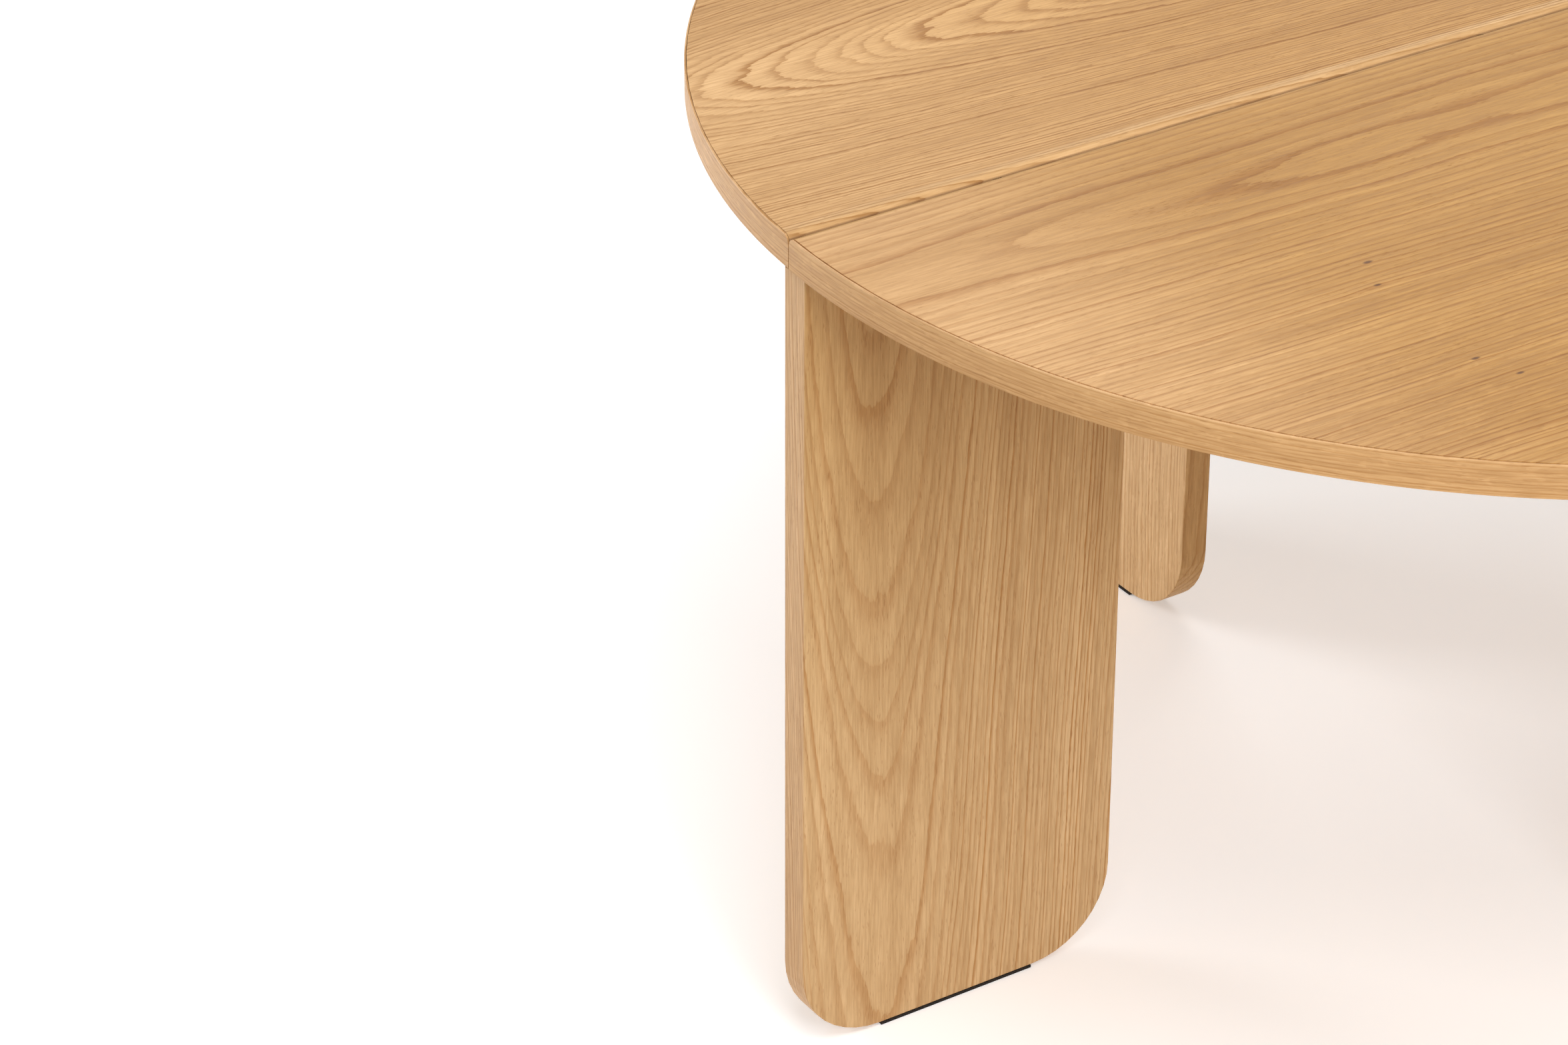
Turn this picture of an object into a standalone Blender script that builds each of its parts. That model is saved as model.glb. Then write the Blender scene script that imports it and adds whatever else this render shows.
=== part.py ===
"""Round gateleg table: a fixed top, a fold-over leaf and a plank leg on a swinging gate."""
import math

import bmesh
import bpy
from mathutils import Matrix, Vector

MM = 0.001

# Overall sizes, in millimetres
TABLE_D = 1350.0        # diameter of the round top
TABLE_H = 750.0         # floor to the top's upper face
TOP_T = 28.0            # thickness of the fixed top and of the leaf
SEAM_OFFSET = 47.0      # the seam lies this far behind the centre
SEAM_GAP = 1.0          # open joint between the two parts of the top
SEAM_ROUND = 8.0        # rolled upper edge on both sides of the seam
EDGE_EASE = 1.2         # eased corner round the rim
BAND_T = 1.5            # solid edge band round the rim

LEG_W = 308.0           # width of the left, right and front planks
GATE_LEG_W = 282.0      # width of the gate's plank
LEG_T = 28.0            # thickness of every plank leg and rail
LEG_ROUND = 76.0        # rounded lower corners of the planks
LEG_EASE = 1.0          # eased arrises of the planks
LEG_LAP = 6.2           # the left and right planks carry the leaf's edge by this much
PAD_T = 3.0             # floor pad under each leg
PAD_INSET = 2.0         # the pad stops this short of the rounded corners
RAIL_H = 120.0          # depth of the rails

# Clearances, in millimetres
GLUE_GAP = 0.3          # between pieces that are fixed together
BAND_GAP = 0.3          # between the edge band and the board
REST_GAP = 0.5          # between the gate and the leaf it carries
BORE_GAP = 0.3          # radial room round pins, screws and dowels
RIM_GAP = 0.2           # the planks stop this far inside the rim

# Dowels
DOWEL_R = 5.0
DOWEL_L = 60.0
DOWEL_UP = (28.0, 92.0)     # heights above the rail's lower edge

# Leaf hinges: two pins each, on the centres of the rolled edges
HINGE_IN = 195.0        # the outer hinges' distance in from the rim, along the seam
PIN_R = 2.0
PIN_L = 22.0
BODY_W = 26.0           # hinge body, along the seam
BODY_COVER = 3.2        # wood left over the body's round upper corner
BODY_REACH = 15.5       # from the pin's axis to the body's back face
FLANGE_L = 12.0         # the screw flange, behind the body
FLANGE_T = 2.3
FLUSH_GAP = 0.2         # the hinge body stays this far inside the underside
LINK_T = 6.4            # link thickness, along the seam
LINK_WALL = 0.7         # metal left round the link's bores
WEB_GAP = 1.0           # between the link's web and the board's square edge
SLOT_GAP = 0.6          # side room of a link in its slot
SLOT_BACK_GAP = 0.9     # room behind the link in the body's slot
SLOT_WEB_GAP = 1.4      # room below the link's web
BOARD_SLOT_GAP = 0.8    # side room of a link in the board's slot
SCREW_R = 2.0
SCREW_L = 14.0
SCREW_HEAD_R = 3.8
SINK_GAP = 1.3          # extra radius of the countersink at its mouth

# Gate hinges
GATE_PIN_OFF = 5.0      # the pin's axis, off the gate's face and off the rail's face
KNUCKLE_R = 4.5
GATE_PIN_R = 2.0
WING_T = 2.0
WING_L = 35.0
WING_H = 46.0
WING_UP = (31.0, 89.0)      # hinge centres above the rail's lower edge
KNUCKLE_GAP = 0.4
GATE_END_GAP = 1.0      # between the gate's inner end and the back rail

# Small fittings
STOP_SIZE = (30.0, 40.0, 15.0)
STOP_IN = 95.0          # the stop's distance in from the rim
STOP_GAP = 0.4
BRACKET_W = 40.0
BRACKET_ARM = 36.0
BRACKET_T = 2.5
BRACKET_X = 250.0
BRACKET_Y = -200.0

# Round shapes
RIM_STEPS = 60
CORNER_STEPS = 10
ROUND_STEPS = 5
PIN_STEPS = 16

# Derived places, in millimetres
R_TOP = TABLE_D / 2.0
UNDER = TABLE_H - TOP_T
PLANK_FAR = SEAM_OFFSET + LEG_LAP
PLANK_NEAR = PLANK_FAR - LEG_T
FRAME_TOP = UNDER - GLUE_GAP
GATE_TOP = UNDER - REST_GAP
HALF_T = LEG_T / 2.0
SEAM_END = math.sqrt(R_TOP ** 2 - PLANK_FAR ** 2) - RIM_GAP
CROSS_END = math.sqrt(R_TOP ** 2 - HALF_T ** 2) - RIM_GAP
PIN_BACK = SEAM_GAP / 2.0 + SEAM_ROUND
PIN_Z = TABLE_H - SEAM_ROUND
FIXED_PIN_Y = SEAM_OFFSET - PIN_BACK
LEAF_PIN_Y = SEAM_OFFSET + PIN_BACK
GATE_X = -HALF_T - GATE_PIN_OFF
GATE_Y = PLANK_FAR + GATE_PIN_OFF
LINK_R = PIN_R + BORE_GAP + LINK_WALL
LINK_DROP = SEAM_ROUND + PIN_BACK + LINK_R + WEB_GAP
BODY_ROUND = SEAM_ROUND - BODY_COVER
BODY_BACK = PIN_BACK + BODY_REACH
FLANGE_BACK = BODY_BACK + FLANGE_L
HINGE_X = (("left", HINGE_IN - R_TOP), ("middle", 0.0), ("right", R_TOP - HINGE_IN))
STOP_Y = R_TOP - STOP_IN

WOOD = (0.62, 0.42, 0.24)
WOOD_EDGE = (0.66, 0.47, 0.29)
WOOD_HIDDEN = (0.70, 0.55, 0.38)
STEEL = (0.55, 0.55, 0.56)
BLACK = (0.02, 0.018, 0.016)


def material(name, colour, rough, metal):
    mat = bpy.data.materials.new(name)
    mat.use_nodes = True
    shader = mat.node_tree.nodes["Principled BSDF"]
    shader.inputs["Base Color"].default_value = (*colour, 1.0)
    shader.inputs["Roughness"].default_value = rough
    shader.inputs["Metallic"].default_value = metal
    return mat


def add_mesh(name, bm, look, smooth=False):
    """Turn a bmesh in millimetres into a named object in metres."""
    bmesh.ops.recalc_face_normals(bm, faces=bm.faces)
    mesh = bpy.data.meshes.new(name)
    bm.to_mesh(mesh)
    bm.free()
    mesh.transform(Matrix.Scale(MM, 4))
    obj = bpy.data.objects.new(name, mesh)
    bpy.context.scene.collection.objects.link(obj)
    if look is not None:
        mesh.materials.append(material(name, *look))
    if smooth:
        round_off(obj)
    return obj


def round_off(obj, limit=35.0):
    """Smooth the curved faces and keep every corner sharper than the limit."""
    mesh = obj.data
    mesh.polygons.foreach_set("use_smooth", [True] * len(mesh.polygons))
    bm = bmesh.new()
    bm.from_mesh(mesh)
    for edge in bm.edges:
        edge.smooth = len(edge.link_faces) == 2 and edge.calc_face_angle() < math.radians(limit)
    bm.to_mesh(mesh)
    bm.free()


def prism(points, axis, low, high):
    """Extrude a closed outline along one axis; points hold the other two coordinates in order."""
    bm = bmesh.new()
    loops = []
    for level in (low, high):
        row = []
        for a, b in points:
            place = {"X": (level, a, b), "Y": (a, level, b), "Z": (a, b, level)}[axis]
            row.append(bm.verts.new(place))
        loops.append(row)
    bm.faces.new(loops[0])
    bm.faces.new(loops[1])
    count = len(points)
    for i in range(count):
        j = (i + 1) % count
        bm.faces.new((loops[0][i], loops[0][j], loops[1][j], loops[1][i]))
    bmesh.ops.recalc_face_normals(bm, faces=bm.faces)
    return bm


def arc(centre, radius, start, end, steps):
    """Points on an arc, angles in degrees, both ends included."""
    turn = [math.radians(start + (end - start) * i / steps) for i in range(steps + 1)]
    return [(centre[0] + radius * math.cos(t), centre[1] + radius * math.sin(t)) for t in turn]


def box(low, high):
    points = [(low[0], low[1]), (high[0], low[1]), (high[0], high[1]), (low[0], high[1])]
    return prism(points, "Z", low[2], high[2])


def rod(axis, centre, radius, low, high):
    last_turn = 360.0 - 360.0 / PIN_STEPS
    return prism(arc(centre, radius, 0.0, last_turn, PIN_STEPS - 1), axis, low, high)


def combine(obj, operation, tools):
    """Cut or join with helper meshes, then drop the helpers."""
    for bm in tools:
        helper = add_mesh("helper", bm, None)
        helper.hide_render = True
        helper.display_type = "WIRE"
        step = obj.modifiers.new("step", "BOOLEAN")
        step.operation = operation
        step.solver = "EXACT"
        step.object = helper
        graph = bpy.context.evaluated_depsgraph_get()
        made = bpy.data.meshes.new_from_object(obj.evaluated_get(graph))
        old = obj.data
        obj.modifiers.clear()
        obj.data = made
        bpy.data.meshes.remove(old)
        spent = helper.data
        bpy.data.objects.remove(helper)
        bpy.data.meshes.remove(spent)
    obj.data.name = obj.name
    return obj


def turn_about(obj, point):
    """Put the object's origin on the axis it turns on."""
    place = Vector(point) * MM
    obj.data.transform(Matrix.Translation(-place))
    obj.location = place


def seam_roll(side):
    """Cutter that rolls the upper edge beside the seam; side is -1 for the fixed top, 1 for the leaf."""
    centre = (SEAM_OFFSET + side * PIN_BACK, PIN_Z)
    start = 0.0 if side < 0 else 180.0
    points = arc(centre, SEAM_ROUND, start, 90.0, ROUND_STEPS)
    points += [(centre[0], TABLE_H + 2.0)]
    points += [(centre[0] - side * (SEAM_ROUND + 2.0), TABLE_H + 2.0)]
    points += [(centre[0] - side * (SEAM_ROUND + 2.0), PIN_Z)]
    return prism(points, "X", -R_TOP - 5.0, R_TOP + 5.0)


def rim_angles(chord_y, radius, side):
    """Angles from one end of the seam round the rim to the other."""
    end = math.degrees(math.asin(chord_y / radius))
    if side > 0:
        return end, 180.0 - end
    return end, -180.0 - end


def top_board(name, side):
    """A board of the round top, inside its edge band."""
    chord = SEAM_OFFSET + side * SEAM_GAP / 2.0
    radius = R_TOP - BAND_T - BAND_GAP
    start, end = rim_angles(chord, radius, side)
    bm = prism(arc((0.0, 0.0), radius, start, end, RIM_STEPS), "Z", UNDER, TABLE_H)
    return add_mesh(name, bm, (WOOD, 0.5, 0.0))


def edge_band(name, side):
    """The thin band that follows the rim, with both corners eased."""
    chord = SEAM_OFFSET + side * SEAM_GAP / 2.0
    inner = R_TOP - BAND_T
    turn = [math.radians(a) for a in (0.0, 45.0, 90.0)]
    ease = [(EDGE_EASE * (1.0 - math.sin(t)), EDGE_EASE * (1.0 - math.cos(t))) for t in turn]
    profile = [(inner, UNDER)]
    profile += [(R_TOP - dx, UNDER + dz) for dx, dz in ease[::-1]][::-1]
    profile += [(R_TOP - dx, TABLE_H - dz) for dx, dz in ease[::-1]]
    profile += [(inner, TABLE_H)]
    bm = bmesh.new()
    rings = []
    for i in range(RIM_STEPS + 1):
        ring = []
        for radius, z in profile:
            start, end = rim_angles(chord, radius, side)
            t = math.radians(start + (end - start) * i / RIM_STEPS)
            ring.append(bm.verts.new((radius * math.cos(t), radius * math.sin(t), z)))
        rings.append(ring)
    count = len(profile)
    for ring, after in zip(rings, rings[1:]):
        for k in range(count):
            m = (k + 1) % count
            bm.faces.new((ring[k], ring[m], after[m], after[k]))
    bm.faces.new(rings[0])
    bm.faces.new(rings[-1])
    return add_mesh(name, bm, (WOOD_EDGE, 0.5, 0.0))


def plank(name, axis, low, high, near, far, top):
    """A plank leg with rounded lower corners; axis is the direction its thickness runs in."""
    foot = PAD_T
    points = [(low, top)]
    points += arc((low + LEG_ROUND, foot + LEG_ROUND), LEG_ROUND, 180.0, 270.0, CORNER_STEPS)
    points += arc((high - LEG_ROUND, foot + LEG_ROUND), LEG_ROUND, 270.0, 360.0, CORNER_STEPS)
    points += [(high, top)]
    bm = prism(points, axis, near, far)
    index = {"X": 0, "Y": 1}[axis]
    arrises = []
    for edge in bm.edges:
        ends = [v.co for v in edge.verts]
        along_face = abs(ends[0][index] - ends[1][index]) < 1e-6
        at_top = ends[0].z > top - 1e-6 and ends[1].z > top - 1e-6
        if along_face and not at_top:
            arrises.append(edge)
    bmesh.ops.bevel(bm, geom=arrises, offset=LEG_EASE, segments=2, profile=0.5, affect="EDGES")
    return add_mesh(name, bm, (WOOD, 0.5, 0.0), smooth=True)


def floor_pad(name, axis, low, high, near, far):
    """The pad under the straight part of a plank's lower edge."""
    a = low + LEG_ROUND + PAD_INSET
    b = high - LEG_ROUND - PAD_INSET
    top = PAD_T - GLUE_GAP
    if axis == "Y":
        bm = box((a, near, 0.0), (b, far, top))
    else:
        bm = box((near, a, 0.0), (far, b, top))
    return add_mesh(name, bm, (BLACK, 0.8, 0.0))


def rail(name, low, high, top):
    return add_mesh(name, box((*low, top - RAIL_H), (*high, top)), (WOOD_HIDDEN, 0.55, 0.0))


def dowel_pair(name, axis, across, joint, top, holders):
    """Two dowels across a joint, and the blind bores they sit in."""
    made = []
    for level, up in zip(("lower", "upper"), DOWEL_UP):
        z = top - RAIL_H + up
        half = DOWEL_L / 2.0
        bm = rod(axis, (across, z), DOWEL_R, joint - half, joint + half)
        made.append(add_mesh(f"{name}_dowel_{level}", bm, (WOOD_HIDDEN, 0.6, 0.0), smooth=True))
        reach = half + BORE_GAP
        for holder in holders:
            bore = rod(axis, (across, z), DOWEL_R + BORE_GAP, joint - reach, joint + reach)
            combine(holder, "DIFFERENCE", [bore])
    return made


def hinge_outline(side, grow, foot):
    """Side view of a hinge body, as distances along Y and Z; grow is the room round it."""
    pin_y = SEAM_OFFSET + side * PIN_BACK
    start = 0.0 if side < 0 else 180.0
    back = SEAM_OFFSET + side * (BODY_BACK + grow)
    flange = SEAM_OFFSET + side * (FLANGE_BACK + grow)
    front = pin_y - side * (BODY_ROUND + grow)
    shelf = UNDER + FLUSH_GAP + FLANGE_T + grow
    points = [(back, PIN_Z + BODY_ROUND + grow)]
    points += arc((pin_y, PIN_Z), BODY_ROUND + grow, 90.0, start, ROUND_STEPS)
    points += [(front, foot), (flange, foot), (flange, shelf), (back, shelf)]
    return points


def link_slot(side, x, width, start, end):
    """Cutter for the slot a link moves in, from start to end measured from the seam."""
    low_y, high_y = sorted((SEAM_OFFSET + side * start, SEAM_OFFSET + side * end))
    top = PIN_Z + LINK_R + SLOT_GAP
    bottom = TABLE_H - LINK_DROP - LINK_R - SLOT_WEB_GAP
    return box((x - width / 2.0, low_y, bottom), (x + width / 2.0, high_y, top))


def screw(name, x, y):
    """Countersunk screw that holds a hinge flange, head on the underside."""
    foot = UNDER + FLUSH_GAP
    profile = [(0.0, foot), (SCREW_HEAD_R, foot), (SCREW_HEAD_R, foot + 0.3)]
    profile += [(SCREW_R, foot + 2.1), (SCREW_R, foot + SCREW_L - 1.5), (0.0, foot + SCREW_L)]
    return add_mesh(name, lathe(profile, x, y), (STEEL, 0.35, 1.0), smooth=True)


def lathe(profile, x, y):
    """Turn a radius and height profile about a vertical axis; both ends sit on the axis."""
    bm = bmesh.new()
    first = bm.verts.new((x, y, profile[0][1]))
    last = bm.verts.new((x, y, profile[-1][1]))
    rings = []
    last_turn = 360.0 - 360.0 / PIN_STEPS
    for radius, z in profile[1:-1]:
        ring = arc((x, y), radius, 0.0, last_turn, PIN_STEPS - 1)
        rings.append([bm.verts.new((a, b, z)) for a, b in ring])
    for i in range(PIN_STEPS):
        j = (i + 1) % PIN_STEPS
        bm.faces.new((first, rings[0][i], rings[0][j]))
        bm.faces.new((last, rings[-1][i], rings[-1][j]))
        for ring, after in zip(rings, rings[1:]):
            bm.faces.new((ring[i], ring[j], after[j], after[i]))
    return bm


def hinge_half(label, x, side, board):
    """Hinge body, pin and screw on one side of the seam, with their room in the board."""
    half = "fixed" if side < 0 else "leaf"
    pin_y = SEAM_OFFSET + side * PIN_BACK
    screw_y = SEAM_OFFSET + side * (BODY_BACK + FLANGE_BACK) / 2.0
    foot = UNDER + FLUSH_GAP
    wide = BODY_W / 2.0
    bm = prism(hinge_outline(side, 0.0, foot), "X", x - wide, x + wide)
    body = add_mesh(f"hinge_{label}_{half}_body", bm, (STEEL, 0.4, 1.0))
    bore_r = PIN_R + BORE_GAP
    reach = PIN_L / 2.0 + BORE_GAP
    head = [(0.0, foot - 1.0), (SCREW_HEAD_R + SINK_GAP, foot - 1.0), (SCREW_R + BORE_GAP, foot + 2.0)]
    head += [(SCREW_R + BORE_GAP, foot + 4.0), (0.0, foot + 4.0)]
    combine(body, "DIFFERENCE", [
        link_slot(side, x, LINK_T + 2.0 * SLOT_GAP, PIN_BACK + LINK_R + SLOT_BACK_GAP, 0.0),
        rod("X", (pin_y, PIN_Z), bore_r, x - reach, x + reach),
        lathe(head, x, screw_y),
    ])
    room = wide + GLUE_GAP
    combine(board, "DIFFERENCE", [
        prism(hinge_outline(side, GLUE_GAP, UNDER - 1.0), "X", x - room, x + room),
        link_slot(side, x, LINK_T + 2.0 * BOARD_SLOT_GAP, PIN_BACK, -2.0),
        rod("Z", (x, screw_y), SCREW_R + BORE_GAP, UNDER, foot + SCREW_L + BORE_GAP),
    ])
    bm = rod("X", (pin_y, PIN_Z), PIN_R, x - PIN_L / 2.0, x + PIN_L / 2.0)
    pin = add_mesh(f"hinge_{label}_{half}_pin", bm, (STEEL, 0.3, 1.0), smooth=True)
    fixing = screw(f"hinge_{label}_{half}_screw", x, screw_y)
    return body, pin, fixing


def hinge_link(label, x):
    """U-shaped link: an arm up to each pin and a web that passes below the rolled edges."""
    web = TABLE_H - LINK_DROP
    left = (FIXED_PIN_Y, PIN_Z)
    right = (LEAF_PIN_Y, PIN_Z)
    points = arc(left, LINK_R, 180.0, 0.0, 8)
    points += [(FIXED_PIN_Y + LINK_R, web + LINK_R), (LEAF_PIN_Y - LINK_R, web + LINK_R)]
    points += arc(right, LINK_R, 180.0, 0.0, 8)
    points += arc((LEAF_PIN_Y, web), LINK_R, 0.0, -90.0, 4)
    points += arc((FIXED_PIN_Y, web), LINK_R, -90.0, -180.0, 4)
    bm = prism(points, "X", x - LINK_T / 2.0, x + LINK_T / 2.0)
    link = add_mesh(f"hinge_{label}_link", bm, (STEEL, 0.35, 1.0))
    wide = LINK_T / 2.0 + 1.0
    for centre in (left, right):
        combine(link, "DIFFERENCE", [rod("X", centre, PIN_R + BORE_GAP, x - wide, x + wide)])
    round_off(link)
    return link


def gate_hinge(level, z):
    """Butt hinge between the back rail and the gate rail: two wings and a pin."""
    half = WING_H / 2.0
    third = WING_H / 4.0
    inner = GATE_PIN_OFF - GLUE_GAP
    clear = KNUCKLE_R + KNUCKLE_GAP
    centre = (GATE_X, GATE_Y)
    bore = GATE_PIN_R + BORE_GAP

    low_y = GATE_Y - inner
    bm = box((GATE_X - WING_L, low_y, z - half), (GATE_X - clear, low_y + WING_T, z + half))
    frame_wing = add_mesh(f"gate_hinge_{level}_frame_wing", bm, (STEEL, 0.35, 1.0))
    for a, b in ((z - half, z - third), (z + third, z + half)):
        tab = box((GATE_X - clear - 2.0, low_y, a), (GATE_X, low_y + WING_T, b))
        combine(frame_wing, "UNION", [tab, rod("Z", centre, KNUCKLE_R, a, b)])
    combine(frame_wing, "DIFFERENCE", [rod("Z", centre, bore, z - half - 1.0, z + half + 1.0)])

    low_x = GATE_X + inner - WING_T
    a = z - third + KNUCKLE_GAP
    b = z + third - KNUCKLE_GAP
    bm = box((low_x, GATE_Y + clear, z - half), (low_x + WING_T, GATE_Y + WING_L, z + half))
    gate_wing = add_mesh(f"gate_hinge_{level}_gate_wing", bm, (STEEL, 0.35, 1.0))
    tab = box((low_x, GATE_Y, a), (low_x + WING_T, GATE_Y + clear + 2.0, b))
    combine(gate_wing, "UNION", [tab, rod("Z", centre, KNUCKLE_R, a, b)])
    combine(gate_wing, "DIFFERENCE", [rod("Z", centre, bore, z - half, z + half)])

    bm = rod("Z", centre, GATE_PIN_R, z - half, z + half)
    pin = add_mesh(f"gate_hinge_{level}_pin", bm, (STEEL, 0.3, 1.0), smooth=True)
    round_off(frame_wing)
    round_off(gate_wing)
    return frame_wing, gate_wing, pin


def bracket(name, axis, centre, face, side):
    """Angle bracket in the corner between a rail and the top; side is the way it stands off."""
    top = FRAME_TOP
    near = face + side * GLUE_GAP
    points = [(near, top), (near, top - BRACKET_ARM)]
    points += [(near + side * BRACKET_T, top - BRACKET_ARM), (near + side * BRACKET_T, top - BRACKET_T)]
    points += [(near + side * BRACKET_ARM, top - BRACKET_T), (near + side * BRACKET_ARM, top)]
    half = BRACKET_W / 2.0
    return add_mesh(name, prism(points, axis, centre - half, centre + half), (STEEL, 0.4, 1.0))


def build():
    for old in list(bpy.data.objects):
        bpy.data.objects.remove(old)

    fixed_top = top_board("fixed_top", -1)
    leaf = top_board("folding_leaf", 1)
    fixed_band = edge_band("fixed_edge_band", -1)
    leaf_band = edge_band("leaf_edge_band", 1)
    for side, pieces in ((-1, (fixed_top, fixed_band)), (1, (leaf, leaf_band))):
        for piece in pieces:
            combine(piece, "DIFFERENCE", [seam_roll(side)])

    left = (-SEAM_END, LEG_W - SEAM_END)
    right = (SEAM_END - LEG_W, SEAM_END)
    front = (-CROSS_END, LEG_W - CROSS_END)
    gate = (CROSS_END - GATE_LEG_W, CROSS_END)
    plane = (PLANK_NEAR, PLANK_FAR)
    cross = (-HALF_T, HALF_T)
    left_leg = plank("left_leg", "Y", *left, *plane, FRAME_TOP)
    right_leg = plank("right_leg", "Y", *right, *plane, FRAME_TOP)
    front_leg = plank("front_leg", "X", *front, *cross, FRAME_TOP)
    gate_leg = plank("gate_leg", "X", *gate, *cross, GATE_TOP)
    floor_pad("left_pad", "Y", *left, *plane)
    floor_pad("right_pad", "Y", *right, *plane)
    floor_pad("front_pad", "X", *front, *cross)
    gate_pad = floor_pad("gate_pad", "X", *gate, *cross)

    left_joint = left[1]
    right_joint = right[0]
    front_joint = front[1]
    gate_joint = gate[0]
    low = (left_joint + GLUE_GAP, PLANK_NEAR)
    high = (right_joint - GLUE_GAP, PLANK_FAR)
    back_rail = rail("back_rail", low, high, FRAME_TOP)
    low = (-HALF_T, front_joint + GLUE_GAP)
    high = (HALF_T, PLANK_NEAR - GLUE_GAP)
    front_rail = rail("front_rail", low, high, FRAME_TOP)
    low = (-HALF_T, PLANK_FAR + GATE_END_GAP)
    high = (HALF_T, gate_joint - GLUE_GAP)
    gate_rail = rail("gate_rail", low, high, GATE_TOP)

    middle = (PLANK_NEAR + PLANK_FAR) / 2.0
    dowel_pair("left", "X", middle, left_joint, FRAME_TOP, (left_leg, back_rail))
    dowel_pair("right", "X", middle, right_joint, FRAME_TOP, (right_leg, back_rail))
    dowel_pair("front", "Y", 0.0, front_joint, FRAME_TOP, (front_leg, front_rail))
    tee_joint = PLANK_NEAR - DOWEL_L / 2.0 + LEG_T / 2.0
    dowel_pair("tee", "Y", 0.0, tee_joint, FRAME_TOP, (front_rail, back_rail))
    gate_dowels = dowel_pair("gate", "Y", 0.0, gate_joint, GATE_TOP, (gate_leg, gate_rail))

    leaf_parts = [leaf, leaf_band]
    link_parts = []
    for label, x in HINGE_X:
        hinge_half(label, x, -1, fixed_top)
        leaf_parts += hinge_half(label, x, 1, leaf)
        link_parts.append(hinge_link(label, x))
    for piece in (fixed_top, leaf, fixed_band, leaf_band):
        round_off(piece)

    gate_parts = [gate_leg, gate_pad, gate_rail, *gate_dowels]
    for level, up in zip(("lower", "upper"), WING_UP):
        gate_parts += gate_hinge(level, FRAME_TOP - RAIL_H + up)[1:]

    bracket("back_bracket_left", "X", -BRACKET_X, PLANK_NEAR, -1)
    bracket("back_bracket_right", "X", BRACKET_X, PLANK_NEAR, -1)
    bracket("front_bracket_left", "Y", BRACKET_Y, -HALF_T, -1)
    bracket("front_bracket_right", "Y", BRACKET_Y, HALF_T, 1)

    wide, deep, tall = STOP_SIZE
    low = (HALF_T + STOP_GAP, STOP_Y - deep / 2.0, UNDER - GLUE_GAP - tall)
    high = (HALF_T + STOP_GAP + wide, STOP_Y + deep / 2.0, UNDER - GLUE_GAP)
    leaf_parts.append(add_mesh("gate_stop", box(low, high), (WOOD_HIDDEN, 0.55, 0.0)))

    for piece in link_parts:
        turn_about(piece, (0.0, FIXED_PIN_Y, PIN_Z))
    for piece in leaf_parts:
        turn_about(piece, (0.0, LEAF_PIN_Y, PIN_Z))
    for piece in gate_parts:
        turn_about(piece, (GATE_X, GATE_Y, 0.0))


build()
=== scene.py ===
# %% [markdown]
# # A round gateleg table in oak
# The table is one round top sawn in two along a seam. The near part is fixed
# on three plank legs. The far part is a leaf that folds over onto it on small
# two-pin hinges, and a fourth plank leg swings out like a gate to carry it.
# This script dresses the finished frame: it keeps each part's place and size,
# and gives it its wood, its steel and its fine edges.

# %% Load the frame
import math

import bmesh
import bpy
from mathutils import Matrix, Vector


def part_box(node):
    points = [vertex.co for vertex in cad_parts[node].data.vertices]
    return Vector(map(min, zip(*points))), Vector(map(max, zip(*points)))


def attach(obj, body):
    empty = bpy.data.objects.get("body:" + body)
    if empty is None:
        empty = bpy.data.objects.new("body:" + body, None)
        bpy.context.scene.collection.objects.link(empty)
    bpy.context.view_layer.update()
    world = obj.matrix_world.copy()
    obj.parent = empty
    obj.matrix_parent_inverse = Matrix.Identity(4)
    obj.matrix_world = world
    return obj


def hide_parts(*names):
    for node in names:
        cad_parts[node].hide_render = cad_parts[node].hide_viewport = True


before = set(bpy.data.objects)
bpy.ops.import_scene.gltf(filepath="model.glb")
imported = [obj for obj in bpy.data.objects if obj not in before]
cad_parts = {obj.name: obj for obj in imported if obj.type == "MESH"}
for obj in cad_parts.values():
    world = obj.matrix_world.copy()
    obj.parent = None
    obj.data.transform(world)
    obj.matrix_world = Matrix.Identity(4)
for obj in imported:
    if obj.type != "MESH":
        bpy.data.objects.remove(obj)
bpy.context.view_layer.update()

# %% [markdown]
# ## Measures
# The rim's radius, the height of the top and the place of the seam come from
# the frame's own boxes, so the bands and the seam's painted highlight and
# painted shadow follow the frame.

# %% Measures taken from the frame
MM = 0.001
fixed_low, fixed_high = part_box("fixed_top")
leaf_low, leaf_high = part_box("folding_leaf")
band_low, band_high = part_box("fixed_edge_band")
RIM_R = -band_low[1]
TABLE_H = fixed_high[2]
UNDER = fixed_low[2]
SEAM_Y = (fixed_high[1] + leaf_low[1]) / 2
print("rim radius", round(RIM_R, 4), "height", round(TABLE_H, 4), "seam", round(SEAM_Y, 4))

# %% [markdown]
# ## Camera
# The camera stands in front and to the left, above the top, and looks down on
# the seam's left end. A long lens keeps the round top from stretching. Angles
# are easier to judge as degrees down and to the right than as turns about axes.

# %% Camera
LENS_LENGTH = 119.04
SENSOR_WIDTH = 36.0
FAR_CLIP = 60.0
CAMERA_PLACE = (-2.56724, -2.87700, 2.54733)
LOOK_DOWN = 30.449
LOOK_RIGHT = 32.878
lens = bpy.data.cameras.new("camera")
lens.lens = LENS_LENGTH
lens.sensor_width = SENSOR_WIDTH
lens.clip_end = FAR_CLIP
camera = bpy.data.objects.new("camera", lens)
camera.location = CAMERA_PLACE
camera.rotation_euler = (math.radians(90.0 - LOOK_DOWN), 0.0, -math.radians(LOOK_RIGHT))
bpy.context.scene.collection.objects.link(camera)
bpy.context.scene.camera = camera
print("camera", round(camera.location.length, 2), "m from the floor's centre")

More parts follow.
